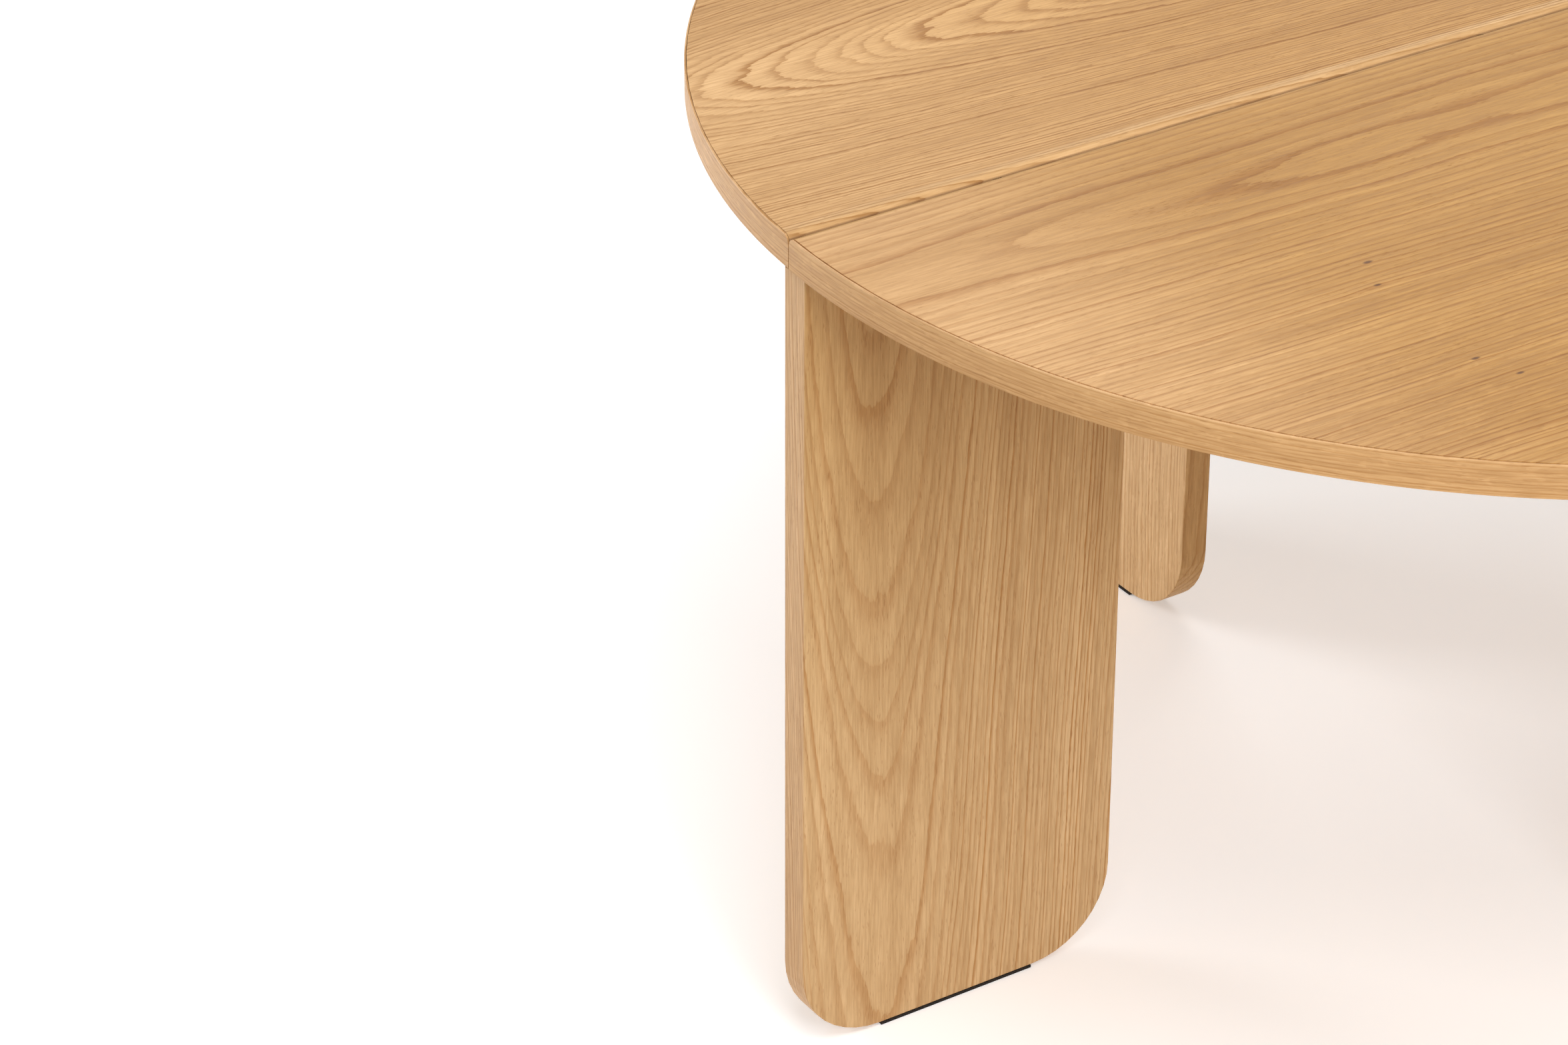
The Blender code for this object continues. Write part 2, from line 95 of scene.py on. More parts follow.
# %% [markdown]
# ## Light
# An even white sky stands for the walls of a studio. The key lamp hangs above
# the near left of the top, the front lamp reaches in under the rim, and two
# weak lamps at the side and the back keep the gate and the far rim from going
# dull. Square lamps a metre or two wide give the soft edge of a studio shadow.

# %% Light
SKY = 0.34
LAMPS = (
    # name, place, what it points at, width, watts
    ("key lamp", (-1.2, -1.8, 4.4), (0.0, 0.0, 0.5), 2.4, 114.0),
    ("front lamp", (-1.2, -4.2, 2.7), (-0.4, 0.0, 0.4), 1.6, 70.0),
    ("side lamp", (-1.4, 2.0, 0.7), (0.0, 0.5, 0.3), 0.9, 22.0),
    ("back lamp", (1.8, 2.6, 3.0), (0.0, 0.2, 0.6), 2.0, 30.0),
)
scene = bpy.context.scene
scene.view_settings.view_transform = "Standard"
world = bpy.data.worlds.new("studio")
scene.world = world
world.use_nodes = True
sky = world.node_tree.nodes["Background"]
sky.inputs["Color"].default_value = (1.0, 1.0, 1.0, 1.0)
sky.inputs["Strength"].default_value = SKY


def soft_lamp(name, place, target, width, watts):
    """A square lamp that points at a target."""
    light = bpy.data.lights.new(name, "AREA")
    light.size = width
    light.energy = watts
    lamp = bpy.data.objects.new(name, light)
    lamp.location = place
    aim = Vector(target) - Vector(place)
    lamp.rotation_euler = aim.to_track_quat("-Z", "Y").to_euler()
    lamp.visible_camera = False
    scene.collection.objects.link(lamp)


for lamp_row in LAMPS:
    soft_lamp(*lamp_row)
print(len(LAMPS), "lamps,", sum(row[4] for row in LAMPS), "W")

# %% [markdown]
# ## Floor
# A studio floor is a wide pale sweep. One flat sheet is enough, so large that
# its edge stays far away.

# %% Floor
FLOOR_HALF = 20.0
bm = bmesh.new()
bmesh.ops.create_grid(bm, x_segments=2, y_segments=2, size=FLOOR_HALF)
floor_mesh = bpy.data.meshes.new("floor")
bm.to_mesh(floor_mesh)
bm.free()
floor = bpy.data.objects.new("floor", floor_mesh)
scene.collection.objects.link(floor)
print("floor", 2 * FLOOR_HALF, "m across")

# %% [markdown]
# ## Small helpers for node trees
# A node tree is a drawing made of boxes and threads. These helpers add a box,
# feed its sockets with a number or a thread, and give back what it puts out,
# so that a finish can be written like a line of arithmetic.


# %% Node helpers
def node(tree, kind, feeds=None, **settings):
    """Add a node; feeds maps a socket's name or index to a value or a thread."""
    made = tree.nodes.new(kind)
    for name, value in settings.items():
        setattr(made, name, value)
    for key, value in (feeds or {}).items():
        feed(tree, made.inputs[key], value)
    return made


def feed(tree, socket, value):
    """Join a thread to a socket, or set the socket to a plain value."""
    if isinstance(value, bpy.types.NodeSocket):
        tree.links.new(value, socket)
    else:
        socket.default_value = value


def calc(tree, operation, a, b=0.0, c=0.0, clamp=False):
    """One step of arithmetic."""
    feeds = {0: a, 1: b, 2: c}
    made = node(tree, "ShaderNodeMath", feeds, operation=operation, use_clamp=clamp)
    return made.outputs[0]


def plus(tree, a, b, clamp=False):
    return calc(tree, "ADD", a, b, clamp=clamp)


def minus(tree, a, b):
    return calc(tree, "SUBTRACT", a, b)


def times(tree, a, b, clamp=False):
    return calc(tree, "MULTIPLY", a, b, clamp=clamp)


def times_plus(tree, a, b, c):
    """a times b, plus c."""
    return calc(tree, "MULTIPLY_ADD", a, b, c)


def over(tree, a, b):
    return calc(tree, "DIVIDE", a, b)


# %% Node helpers: vectors, steps, noise and colours
NOISE_LOW, NOISE_HIGH = 0.3, 0.7


def vector(tree, x, y, z):
    return node(tree, "ShaderNodeCombineXYZ", {0: x, 1: y, 2: z}).outputs[0]


def parts_of(tree, value):
    """The x, y and z of a vector."""
    return node(tree, "ShaderNodeSeparateXYZ", {0: value}).outputs


def rise(tree, value, low, high, out_low=0.0, out_high=1.0):
    """Smooth step from out_low, where value is low, to out_high, where it is high."""
    feeds = {
        "Value": value, "From Min": low, "From Max": high,
        "To Min": out_low, "To Max": out_high,
    }
    made = node(tree, "ShaderNodeMapRange", feeds, interpolation_type="SMOOTHSTEP")
    return made.outputs["Result"]


def noise(tree, place, scale=1.0, detail=2.0, roughness=0.5, twist=0.0):
    """Cloudy noise; its outputs are a number first, then a colour."""
    feeds = {
        "Vector": place, "Scale": scale, "Detail": detail,
        "Roughness": roughness, "Distortion": twist,
    }
    return node(tree, "ShaderNodeTexNoise", feeds).outputs


def spread(tree, value, out_low=0.0, out_high=1.0):
    """Noise keeps near its middle; this stretches it over the whole range."""
    return rise(tree, value, NOISE_LOW, NOISE_HIGH, out_low, out_high)


def blend_colour(tree, amount, a, b, way="MIX"):
    made = node(tree, "ShaderNodeMix", data_type="RGBA", blend_type=way, clamp_factor=True)
    feed(tree, made.inputs[0], amount)
    feed(tree, made.inputs[6], a)
    feed(tree, made.inputs[7], b)
    return made.outputs[2]


def new_group(name, inputs, outputs):
    """An empty shader group with named sockets; inputs give a kind and a default."""
    tree = bpy.data.node_groups.new(name, "ShaderNodeTree")
    kinds = {"number": "NodeSocketFloat", "colour": "NodeSocketColor"}
    for label, kind, default in inputs:
        socket = tree.interface.new_socket(label, in_out="INPUT", socket_type=kinds[kind])
        socket.default_value = default
    for label, kind in outputs:
        tree.interface.new_socket(label, in_out="OUTPUT", socket_type=kinds[kind])
    start = tree.nodes.new("NodeGroupInput")
    end = tree.nodes.new("NodeGroupOutput")
    return tree, start.outputs, end.inputs


# %% [markdown]
# ## How oak gets its figure
# A log is a stack of cones, one for each year. A board or a sheet of veneer
# is a flat cut through that stack, so the yearly rings show as nested arches
# where the cut runs along the rings and as close straight lines where it
# crosses them. Drawn arches would have to be invented line by line, so the
# group below does what the log does: it measures how far each point lies from
# the log's heart and counts rings. Lean tips the log, which draws the arches
# out, waver bends it a little as real trees do, and jag gives the lines their
# small steps.

# %% Group: rings of the log
SLOW_ALONG, SLOW_ACROSS, SLOW_SCALE = 0.9, 2.2, 1.6
QUICK_ALONG, QUICK_ACROSS = 9.0, 44.0
UNEVEN_PACE, UNEVEN_SHIFT = 75.0, 0.013
# How dark a ring is on the way through it: dark spring wood, then pale.
RING_SHADES = ((0.10, 0.92), (0.24, 0.55), (0.42, 0.22), (0.72, 0.05), (0.93, 0.12))
YEAR_POWER, YEAR_SPAN, YEAR_LEAST = 1.6, 0.70, 0.42
TINY = 0.0001  # keeps the heart itself from dividing by nothing
rings, given, out = new_group(
    "rings of the log",
    [
        ("Along", "number", 0.0), ("Across", "number", 0.0), ("Depth", "number", 0.0),
        ("Ring Width", "number", 0.005), ("Lean", "number", 0.05),
        ("Waver", "number", 0.02), ("Jag", "number", 0.004), ("Seed", "number", 0.0),
    ],
    [("Line", "number"), ("Year", "number"), ("Quarter", "number")],
)


def log_noise_place(along, across):
    """A place in the log for noise that is drawn out along the grain."""
    return vector(
        rings, times(rings, given["Along"], along), times(rings, given["Across"], across),
        plus(rings, given["Depth"], given["Seed"]),
    )


slow = noise(rings, log_noise_place(SLOW_ALONG, SLOW_ACROSS), SLOW_SCALE, 2.0, 0.45)
bend = node(rings, "ShaderNodeSeparateColor", {0: slow["Color"]}).outputs
quick = noise(rings, log_noise_place(QUICK_ALONG, QUICK_ACROSS), 1.0, 4.0, 0.7)
shiver = times(rings, minus(rings, quick[0], 0.5), given["Jag"])
side = times_plus(rings, minus(rings, bend[0], 0.5), given["Waver"], given["Across"])
deep = times_plus(rings, given["Along"], given["Lean"], given["Depth"])
deep = times_plus(rings, minus(rings, bend[1], 0.5), given["Waver"], deep)
reach = calc(rings, "SQRT", times_plus(rings, side, side, times(rings, deep, deep)))

# %% Group: rings of the log, counted
pace = vector(rings, times(rings, reach, UNEVEN_PACE), 0.0, given["Seed"])
uneven = noise(rings, pace)
walk = times_plus(rings, minus(rings, uneven[0], 0.5), UNEVEN_SHIFT, reach)
count = over(rings, plus(rings, walk, shiver), given["Ring Width"])
shape = node(rings, "ShaderNodeFloatCurve", {"Value": calc(rings, "FRACT", count)})
curve = shape.mapping.curves[0]
for ring_place, level in RING_SHADES:
    curve.points.new(ring_place, level)
curve.points[0].location = (0.0, 1.0)
curve.points[-1].location = (1.0, 1.0)
shape.mapping.update()
dice = {"W": calc(rings, "FLOOR", count)}
year = node(rings, "ShaderNodeTexWhiteNoise", dice, noise_dimensions="1D").outputs["Value"]
strength = times_plus(rings, calc(rings, "POWER", year, YEAR_POWER), YEAR_SPAN, YEAR_LEAST)
feed(rings, out["Line"], times(rings, shape.outputs[0], strength))
feed(rings, out["Year"], year)
sideways = over(rings, calc(rings, "ABSOLUTE", side), plus(rings, reach, TINY))
feed(rings, out["Quarter"], sideways)
print("ring group", len(rings.nodes), "nodes")

# %% [markdown]
# ## Pores, fibres and rays
# Oak is coarse: long open pores crowd into the spring wood of each ring, fine
# fibres streak the summer wood, and where the cut runs from heart to bark the
# rays show as small silky flecks. All three are noise stretched along the
# grain, so one group holds them.

# %% Group: pores, fibres and rays
# Each pair counts features in a metre, along the grain and across it.
PORE_GRAIN = (75.0, 720.0)
BREAK_GRAIN = (9.0, 60.0)
COARSE_GRAIN = (7.0, 150.0)
THIN_GRAIN = (34.0, 560.0)
RAY_GRAIN = (55.0, 190.0)
# How far a pore reaches in its cell, and the share of that which is fully dark.
PORES_IN_LINE, PORES_ELSEWHERE, PORE_CORE = 0.28, 0.20, 0.45
CROWD_RANGE, CROWD_LEAST = (0.38, 0.62), 0.35
COARSE_SHARE = 0.35
RAY_TWIST, FLECK_RANGE = 0.8, (0.56, 0.68)
# Flecks only show where the cut runs nearly straight from heart to bark.
QUARTER_RANGE = (0.80, 0.98)
fine, given, out = new_group(
    "pores fibres and rays",
    [
        ("Along", "number", 0.0), ("Across", "number", 0.0), ("Depth", "number", 0.0),
        ("Line", "number", 0.0), ("Quarter", "number", 0.0), ("Seed", "number", 0.0),
    ],
    [("Pores", "number"), ("Fibres", "number"), ("Flecks", "number")],
)


def stretched(tree, given, grain):
    """The point, with the grain drawn out along one axis."""
    along, across = grain
    return vector(
        tree, times(tree, given["Along"], along), times(tree, given["Across"], across),
        times_plus(tree, given["Depth"], across, given["Seed"]),
    )


cell_feeds = {"Vector": stretched(fine, given, PORE_GRAIN), "Scale": 1.0}
cells = node(fine, "ShaderNodeTexVoronoi", cell_feeds)
limit = times_plus(fine, given["Line"], PORES_IN_LINE, PORES_ELSEWHERE)
pores = rise(fine, cells.outputs["Distance"], limit, times(fine, limit, PORE_CORE))
broken = noise(fine, stretched(fine, given, BREAK_GRAIN), detail=1.0)
crowding = rise(fine, broken[0], *CROWD_RANGE, CROWD_LEAST, 1.0)
feed(fine, out["Pores"], times(fine, pores, crowding))
coarse = noise(fine, stretched(fine, given, COARSE_GRAIN), 1.0, 3.0, 0.65)
thin = noise(fine, stretched(fine, given, THIN_GRAIN), 1.0, 2.0, 0.6)
thin_part = times(fine, thin[0], 1.0 - COARSE_SHARE)
streaks = times_plus(fine, coarse[0], COARSE_SHARE, thin_part)
feed(fine, out["Fibres"], spread(fine, streaks))
silk = noise(fine, stretched(fine, given, RAY_GRAIN), twist=RAY_TWIST)
flecks = rise(fine, silk[0], *FLECK_RANGE)
feed(fine, out["Flecks"], times(fine, flecks, rise(fine, given["Quarter"], *QUARTER_RANGE)))
print("fine grain group", len(fine.nodes), "nodes")

# %% [markdown]
# ## Pin knots
# A pin knot is a twig's root: a dark speck with the grain parted round it.
# The group gives the speck and the push that parts the rings, so a knot needs
# only its place and its size.

# %% Group: pin knot
KNOT_LENGTHEN = 0.45
SPECK_RIM, SPECK_CORE = 1.1, 0.35  # in knot sizes from its middle
PUSH_SPREAD, PUSH_HEIGHT = -0.04, 1.6
knot, given, out = new_group(
    "pin knot",
    [
        ("Along", "number", 0.0), ("Across", "number", 0.0),
        ("Place Along", "number", 0.0), ("Place Across", "number", 0.0),
        ("Size", "number", 0.004),
    ],
    [("Speck", "number"), ("Push", "number")],
)
off_along = over(knot, minus(knot, given["Along"], given["Place Along"]), given["Size"])
off_across = over(knot, minus(knot, given["Across"], given["Place Across"]), given["Size"])
long_way = times(knot, off_along, KNOT_LENGTHEN)
square = times_plus(knot, long_way, long_way, times(knot, off_across, off_across))
near = calc(knot, "SQRT", square)
feed(knot, out["Speck"], rise(knot, near, SPECK_RIM, SPECK_CORE))
swell = calc(knot, "EXPONENT", times(knot, times(knot, near, near), PUSH_SPREAD))
feed(knot, out["Push"], times(knot, times(knot, swell, given["Size"]), PUSH_HEIGHT))
print("knot group", len(knot.nodes), "nodes")

# %% [markdown]
# ## Lacquered oak
# This group mixes the finish: pale summer wood, tan spring lines, dark pores,
# a slow drift of tone, and the thin matt lacquer that fills the pores but
# leaves them as shallow dips. Dark streaks turn warmer as well as darker, so
# green and blue fall off faster than red. An end tint changes the tone towards
# one end of a board: painted shade at the left plank's upper end, and on the
# tops a paler, cooler left end that is partly the wood's own tone and partly
# painted light. An edge tint changes it where a mask says so: a painted
# highlight on the seam's rolled edges and the band's eased corner, painted
# shade on the gate's edges, and a duller tone of their own on the other
# planks' edges.

# %% Group: lacquered oak, its sockets
PALE_OAK = (0.605, 0.350, 0.150, 1.0)
TAN_OAK = (0.390, 0.172, 0.040, 1.0)
PORE_BROWN = (0.35, 0.160, 0.050, 1.0)
KNOT_BROWN = (0.16, 0.07, 0.03, 1.0)
WHITE = (1.0, 1.0, 1.0, 1.0)
oak, given, out = new_group(
    "lacquered oak",
    [
        ("Along", "number", 0.0), ("Across", "number", 0.0), ("Depth", "number", 0.0),
        ("Ring Width", "number", 0.005), ("Lean", "number", 0.05),
        ("Waver", "number", 0.02), ("Jag", "number", 0.004), ("Seed", "number", 0.0),
        ("Line Strength", "number", 0.6), ("Pore Strength", "number", 0.5),
        ("Arch Strength", "number", 0.6), ("Heart Tone", "number", 0.05),
        ("Speck", "number", 0.0), ("Push", "number", 0.0), ("Edge", "number", 0.0),
        ("Pale", "colour", PALE_OAK), ("Tan", "colour", TAN_OAK),
        ("Edge Tint", "colour", WHITE),
        ("Sap Start", "number", -9.0), ("Sap End", "number", -8.0),
        ("Sap Tint", "colour", WHITE),
    ],
    [("Colour", "colour"), ("Roughness", "number"), ("Height", "number")],
)
log = node(oak, "ShaderNodeGroup", node_tree=rings)
grain = node(oak, "ShaderNodeGroup", node_tree=fine)
for name in ("Along", "Across", "Ring Width", "Lean", "Waver", "Jag", "Seed"):
    feed(oak, log.inputs[name], given[name])
feed(oak, log.inputs["Depth"], plus(oak, given["Depth"], given["Push"]))
for name in ("Along", "Across", "Depth", "Seed"):
    feed(oak, grain.inputs[name], given[name])
for name in ("Line", "Quarter"):
    feed(oak, grain.inputs[name], log.outputs[name])
log, grain = log.outputs, grain.outputs

# %% Group: lacquered oak, its tones
DRIFT_GRAIN, STRIPE_GRAIN = (1.3, 4.5), (1.0, 34.0)
TONE_DARK, TONE_LIGHT = 0.94, 1.05
FIBRE_TONE, YEAR_TONE, FLECK_TONE = 0.25, 0.08, 0.08
GREEN_FALL, BLUE_FALL = 1.3, 1.8
FLANK_RANGE = (0.10, 0.60)
drift = noise(oak, stretched(oak, given, DRIFT_GRAIN))
stripes = noise(oak, stretched(oak, given, STRIPE_GRAIN), 1.0, 2.0, 0.6)
tone = times(
    oak, spread(oak, drift[0], TONE_DARK, TONE_LIGHT),
    spread(oak, stripes[0], TONE_DARK, TONE_LIGHT),
)
fibre_tone = times_plus(oak, minus(oak, grain["Fibres"], 0.5), FIBRE_TONE, 1.0)
year_tone = times_plus(oak, minus(oak, log["Year"], 0.5), YEAR_TONE, 1.0)
shade = times(oak, times(oak, tone, fibre_tone), year_tone)
shade = times_plus(oak, grain["Flecks"], FLECK_TONE, shade)
flank = rise(oak, log["Quarter"], *FLANK_RANGE)
heart_tone = times(oak, minus(oak, 1.0, flank), given["Heart Tone"])
shade = times(oak, shade, minus(oak, 1.0, heart_tone))
warm = vector(
    oak, shade, calc(oak, "POWER", shade, GREEN_FALL), calc(oak, "POWER", shade, BLUE_FALL),
)

# %% Group: lacquered oak, its colours and dips
LACQUER_ROUGH, FIBRE_ROUGH, PORE_ROUGH = 0.44, 0.10, 0.10
PORE_DIP, LINE_DIP = -0.7, -0.3
KNOT_DARK = 0.95
soften = times_plus(
    oak, flank, minus(oak, 1.0, given["Arch Strength"]), given["Arch Strength"],
)
lines = times(oak, times(oak, log["Line"], given["Line Strength"]), soften, clamp=True)
colour = blend_colour(oak, lines, given["Pale"], given["Tan"])
colour = blend_colour(oak, 1.0, colour, warm, "MULTIPLY")
pore_amount = times(oak, grain["Pores"], given["Pore Strength"])
colour = blend_colour(oak, pore_amount, colour, PORE_BROWN)
colour = blend_colour(oak, times(oak, given["Speck"], KNOT_DARK), colour, KNOT_BROWN)
# End tint: painted shade on the left plank's upper end; on the tops partly painted light, partly
# the wood's own tone.
end_lit = blend_colour(oak, 1.0, colour, given["Sap Tint"], "MULTIPLY")
end_light = rise(oak, given["Along"], given["Sap End"], given["Sap Start"])
end_light = times(oak, end_light, minus(oak, 1.0, given["Edge"]))
colour = blend_colour(oak, end_light, colour, end_lit)
# Edge tint: a painted highlight on rolled edges and the band's corner, painted shade on the
# gate's edges, the other planks' own duller tone.
tinted = blend_colour(oak, 1.0, colour, given["Edge Tint"], "MULTIPLY")
feed(oak, out["Colour"], blend_colour(oak, given["Edge"], colour, tinted))
rough = times_plus(oak, grain["Fibres"], FIBRE_ROUGH, LACQUER_ROUGH)
feed(oak, out["Roughness"], times_plus(oak, grain["Pores"], PORE_ROUGH, rough))
dips = times_plus(oak, grain["Pores"], PORE_DIP, grain["Fibres"])
feed(oak, out["Height"], times_plus(oak, lines, LINE_DIP, dips))
print("oak group", len(oak.nodes), "nodes")

# %% [markdown]
# ## Cutting each board from its own log
# No two boards come from the same place in a tree. Each material turns the
# object's own coordinates so that one axis runs along the grain, then sets
# where the log's heart lies, how it leans and how wide its rings are. The
# narrow edges are told from the faces by the object-space normal, so that
# they can have a tone of their own; on the gate that tone is painted shade.
# On the two tops the mask is a strip along the seam instead: a pale painted
# highlight on the rolled edge, with a dark line of painted shadow down in the
# gap between the two parts.


# %% Materials: the shader and its lacquer
LACQUER_SHEEN = 0.20
COAT, COAT_ROUGH = 0.03, 0.38
DIP_STRENGTH = 0.35


def shader_of(name):
    """A new material with its tree and its Principled shader."""
    mat = bpy.data.materials.new(name)
    mat.use_nodes = True
    return mat, mat.node_tree, mat.node_tree.nodes["Principled BSDF"]


def add_bump(tree, shader, height, strength, distance):
    bump = node(tree, "ShaderNodeBump", {
        "Height": height, "Strength": strength, "Distance": distance,
    })
    feed(tree, shader.inputs["Normal"], bump.outputs[0])


def finish_lacquer(tree, shader, made, dip):
    """Wire a finish group into the shader, with a thin matt coat."""
    feed(tree, shader.inputs["Base Color"], made.outputs["Colour"])
    feed(tree, shader.inputs["Roughness"], made.outputs["Roughness"])
    add_bump(tree, shader, made.outputs["Height"], DIP_STRENGTH, dip)
    shader.inputs["Specular IOR Level"].default_value = LACQUER_SHEEN
    shader.inputs["Coat Weight"].default_value = COAT
    shader.inputs["Coat Roughness"].default_value = COAT_ROUGH


def set_values(made, values):
    """Set a group's own numbers and colours, by name with _ for a space."""
    for label, value in values.items():
        socket = made.inputs[label.replace("_", " ")]
        socket.default_value = (*value, 1.0) if isinstance(value, tuple) else value


# %% Materials: knots, edges and the seam's lipping
EDGE_STARTS, EDGE_FULL = 0.75, 0.35
# The dark line along the seam is a painted shadow in the gap between the two parts.
GROOVE_WIDE, GROOVE_NARROW, GROOVE_SHADE = 2.8 * MM, 1.2 * MM, 0.60


def add_knots(tree, along, across, knots):
    """The specks and the pushes of a few pin knots, added up."""
    speck, push = 0.0, 0.0
    for knot_along, knot_across, size in knots:
        one = node(tree, "ShaderNodeGroup", {
            "Along": along, "Across": across,
            "Place Along": knot_along, "Place Across": knot_across, "Size": size,
        }, node_tree=knot)
        speck = plus(tree, one.outputs["Speck"], speck, clamp=True)
        push = plus(tree, one.outputs["Push"], push)
    return speck, push


def edge_mask(tree, place, axis):
    """1 on the narrow edges, 0 on the faces that look along the axis."""
    facing = parts_of(tree, place.outputs["Normal"])["XYZ".index(axis)]
    return rise(tree, calc(tree, "ABSOLUTE", facing), EDGE_STARTS, EDGE_FULL)


def seam_masks(tree, place, seam_highlight):
    """The strip of painted highlight on the rolled edge, from where it ends to where it is full,
    and the painted shadow in the gap.
    """
    across_seam = parts_of(tree, place.outputs["Object"])[1]
    gap = calc(tree, "ABSOLUTE", minus(tree, across_seam, SEAM_Y))
    groove_shade = times(tree, rise(tree, gap, GROOVE_WIDE, GROOVE_NARROW), GROOVE_SHADE)
    return rise(tree, across_seam, *seam_highlight), groove_shade


# %% Materials: oak for one board
BOARD_DIP = 0.6 * MM


def oak_board(name, axes, centre, heart, turn=0.0, squeeze=1.0, knots=(),
              edge_axis=None, seam_highlight=None, edge_tone_and_light=(1.0, 1.0, 1.0), **values):
    """Oak for one board.

    axes are the letters of the along, across and depth directions, centre is
    where the log's heart lies under the face, and heart is how far below."""
    mat, tree, shader = shader_of(name)
    place = node(tree, "ShaderNodeTexCoord")
    shift = node(tree, "ShaderNodeMapping", {
        "Vector": place.outputs["Object"], "Location": [-c for c in centre],
    })
    turned = node(tree, "ShaderNodeVectorRotate", {
        "Vector": shift.outputs[0], "Angle": turn,
    }, rotation_type=axes[2] + "_AXIS")
    parts = parts_of(tree, turned.outputs[0])
    along, across, depth = (parts["XYZ".index(letter)] for letter in axes)
    speck, push = add_knots(tree, along, across, knots)
    edge = edge_mask(tree, place, edge_axis) if edge_axis else 0.0
    if seam_highlight:
        # The seam strip is a painted highlight; the gap's painted shadow joins the knots' dark
        # specks.
        edge, groove_shade = seam_masks(tree, place, seam_highlight)
        speck = calc(tree, "MAXIMUM", groove_shade, speck)
    made = node(tree, "ShaderNodeGroup", {
        "Along": along, "Across": times(tree, across, squeeze),
        "Depth": plus(tree, depth, heart),
        "Speck": speck, "Push": push, "Edge": edge,
    }, node_tree=oak, label=name)
    set_values(made, {"Edge Tint": edge_tone_and_light, **values})
    finish_lacquer(tree, shader, made, BOARD_DIP)
    return mat


def dress(node_name, mat):
    """Give a frame part its material."""
    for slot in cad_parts[node_name].material_slots:
        slot.material = mat


# %% [markdown]
# ## The two parts of the top
# The grain runs along the seam. The leaf is cut near the heart, so its arches
# stand out: they point to the rim on the left and give way to close straight
# lines by the seam. The fixed part has a long soft arch beside the seam and a
# few pin knots. Both grow paler and cooler towards the left, partly the wood's
# own tone and partly painted light from the left. Along the seam each has a
# pale strip of painted highlight on its rolled edge, and a dark line of
# painted shadow in the gap.

# %% Oak for the top
FIXED_HEART_Y, LEAF_HEART_Y = -0.070, 0.288
PIN_KNOTS = (
    # along, across, size
    (-0.329, -0.160, 2.4 * MM), (-0.345, -0.193, 2.0 * MM),
    (-0.354, -0.321, 2.2 * MM), (-0.340, -0.355, 2.0 * MM),
)
# On both tops the end tint is partly painted light from the left, partly the wood's own tone.
top_fixed_oak = oak_board(
    "fixed top oak", "XYZ", (0.0, FIXED_HEART_Y, TABLE_H), heart=0.0917, turn=0.02,
    squeeze=0.95, knots=PIN_KNOTS,
    seam_highlight=(SEAM_Y - 8.5 * MM, SEAM_Y - 6.5 * MM), edge_tone_and_light=(1.0, 1.06, 1.25),
    Ring_Width=0.0056, Lean=-0.012, Waver=0.026, Jag=0.0036, Seed=3.1,
    Line_Strength=1.0, Pore_Strength=0.60, Arch_Strength=0.85, Heart_Tone=0.03,
    Pale=(0.545, 0.286, 0.084), Tan=(0.365, 0.155, 0.035),
    Sap_Start=-0.66, Sap_End=-0.33, Sap_Tint=(1.30, 1.46, 2.20),
)
leaf_oak = oak_board(
    "folding leaf oak", "XYZ", (0.0, LEAF_HEART_Y, TABLE_H), heart=0.090,
    seam_highlight=(SEAM_Y + 15.5 * MM, SEAM_Y + 11.0 * MM), edge_tone_and_light=(1.17, 1.33, 1.80),
    Ring_Width=0.0032, Lean=-0.088, Waver=0.022, Jag=0.0046, Seed=8.4,
    Line_Strength=1.0, Pore_Strength=0.60, Arch_Strength=1.0, Heart_Tone=-0.20,
    Pale=(0.612, 0.328, 0.110), Tan=(0.345, 0.142, 0.030),
    Sap_Start=-0.66, Sap_End=-0.15, Sap_Tint=(1.16, 1.27, 1.62),
)
dress("fixed_top", top_fixed_oak)
dress("folding_leaf", leaf_oak)
print("two top boards,", len(PIN_KNOTS), "pin knots")

# %% [markdown]
# ## Planks
# The planks stand on end, so their grain is upright. On the left plank the
# arches point down and are easy to see, and its upper end is darker with
# painted shade, the shadow of the top's overhang; the other planks are
# quieter. The edges are a shade duller than the faces. The gate's edges are
# darker still, painted shade for its inner edge deep under the table. Each
# log's heart lies a little to one side of its plank, as sawn wood's does.

# %% Oak for the planks
PLANK_PALE = (0.610, 0.392, 0.192)
PLANK_EDGE = (0.98, 0.93, 0.93)
# Painted shade: the gate's narrow edges are darkened for the shade on its inner edge under the
# table.
GATE_EDGE_SHADE = (0.76, 0.68, 0.52)
PLANK_MID_Z = 0.35


def face_centre(name):
    low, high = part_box(name)
    return [(a + b) / 2 for a, b in zip(low, high)]


